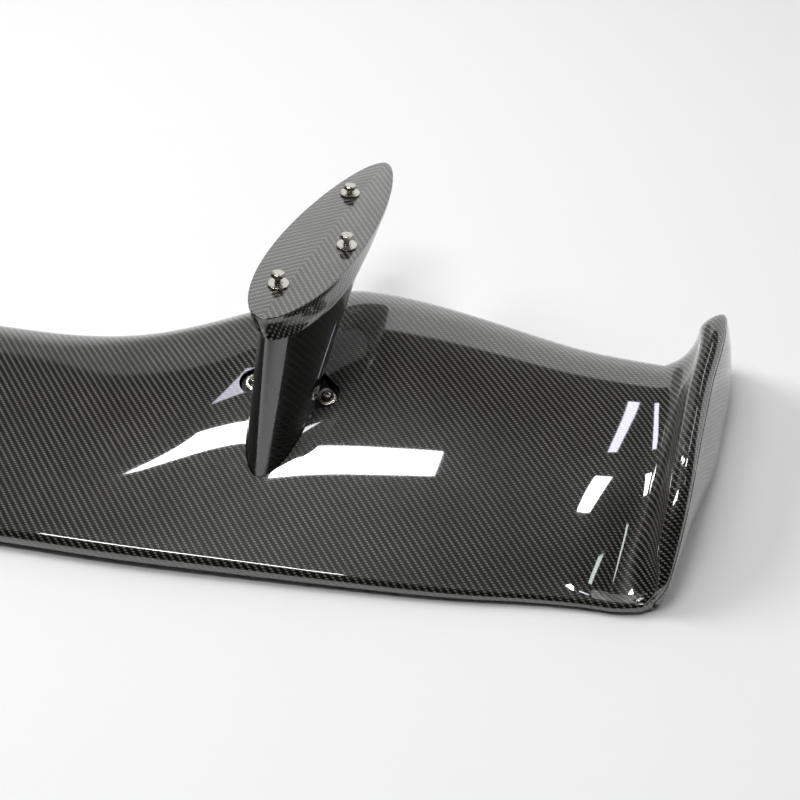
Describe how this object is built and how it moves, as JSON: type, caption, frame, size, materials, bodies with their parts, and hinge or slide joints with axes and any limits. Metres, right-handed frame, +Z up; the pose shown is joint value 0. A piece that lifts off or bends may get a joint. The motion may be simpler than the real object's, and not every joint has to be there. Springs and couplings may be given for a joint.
{
  "type": "racing rear wing",
  "caption": "Gloss carbon-fibre rear wing with moulded end plates and raked pedestal legs on oval bolt-down feet, stored belly up.",
  "frame": {"origin": "on the floor under the middle of the whole part, with the wing resting belly up", "axes": "+X along the span to the right, +Y from the trailing edge to the leading edge, +Z up from the top skin to the feet"},
  "size_m": [1.528, 0.41, 0.18],
  "materials": {
    "gloss_carbon": "clear-coated 2x2 twill carbon laminate, high gloss",
    "inner_carbon": "bare carbon laminate, uncoated",
    "mount_alloy": "milled aluminium plate",
    "fastener_steel": "bright stainless fasteners"
  },
  "bodies": {
    "wing": {"belly_skin": "gloss_carbon", "top_skin": "gloss_carbon", "rear_spar": "inner_carbon", "front_spar": "inner_carbon", "right_end_rib": "inner_carbon", "right_leg_column": "gloss_carbon", "right_mount_plate": "mount_alloy", "right_leg_rib_outer": "inner_carbon", "right_ear_washer_outer": "fastener_steel", "right_ear_bolt_outer": "fastener_steel", "right_leg_rib_inner": "inner_carbon", "right_ear_washer_inner": "fastener_steel", "right_ear_bolt_inner": "fastener_steel", "right_foot_cap": "gloss_carbon", "right_foot_insert_near": "fastener_steel", "right_foot_washer_near": "fastener_steel", "right_foot_insert_middle": "fastener_steel", "right_foot_washer_middle": "fastener_steel", "right_foot_insert_far": "fastener_steel", "right_foot_washer_far": "fastener_steel", "left_end_rib": "inner_carbon", "left_leg_column": "gloss_carbon", "left_mount_plate": "mount_alloy", "left_leg_rib_outer": "inner_carbon", "left_ear_washer_outer": "fastener_steel", "left_ear_bolt_outer": "fastener_steel", "left_leg_rib_inner": "inner_carbon", "left_ear_washer_inner": "fastener_steel", "left_ear_bolt_inner": "fastener_steel", "left_foot_cap": "gloss_carbon", "left_foot_insert_near": "fastener_steel", "left_foot_washer_near": "fastener_steel", "left_foot_insert_middle": "fastener_steel", "left_foot_washer_middle": "fastener_steel", "left_foot_insert_far": "fastener_steel", "left_foot_washer_far": "fastener_steel"},
    "right_near_bolt": {"right_foot_bolt_near": "fastener_steel"},
    "right_middle_bolt": {"right_foot_bolt_middle": "fastener_steel"},
    "right_far_bolt": {"right_foot_bolt_far": "fastener_steel"},
    "left_near_bolt": {"left_foot_bolt_near": "fastener_steel"},
    "left_middle_bolt": {"left_foot_bolt_middle": "fastener_steel"},
    "left_far_bolt": {"left_foot_bolt_far": "fastener_steel"}
  },
  "joints": [
    {"name": "right_near_bolt_slide", "type": "slide", "parent": "wing", "child": "right_near_bolt", "axis": [0, 0.1478, 0.989], "range_m": [-0.0057, 0.007]},
    {"name": "right_middle_bolt_slide", "type": "slide", "parent": "wing", "child": "right_middle_bolt", "axis": [0, 0.1478, 0.989], "range_m": [-0.0057, 0.007]},
    {"name": "right_far_bolt_slide", "type": "slide", "parent": "wing", "child": "right_far_bolt", "axis": [0, 0.1478, 0.989], "range_m": [-0.0032, 0.0095]},
    {"name": "left_near_bolt_slide", "type": "slide", "parent": "wing", "child": "left_near_bolt", "axis": [0, 0.1478, 0.989], "range_m": [-0.0057, 0.007]},
    {"name": "left_middle_bolt_slide", "type": "slide", "parent": "wing", "child": "left_middle_bolt", "axis": [0, 0.1478, 0.989], "range_m": [-0.0057, 0.007]},
    {"name": "left_far_bolt_slide", "type": "slide", "parent": "wing", "child": "left_far_bolt", "axis": [0, 0.1478, 0.989], "range_m": [-0.0032, 0.0095]}
  ]
}
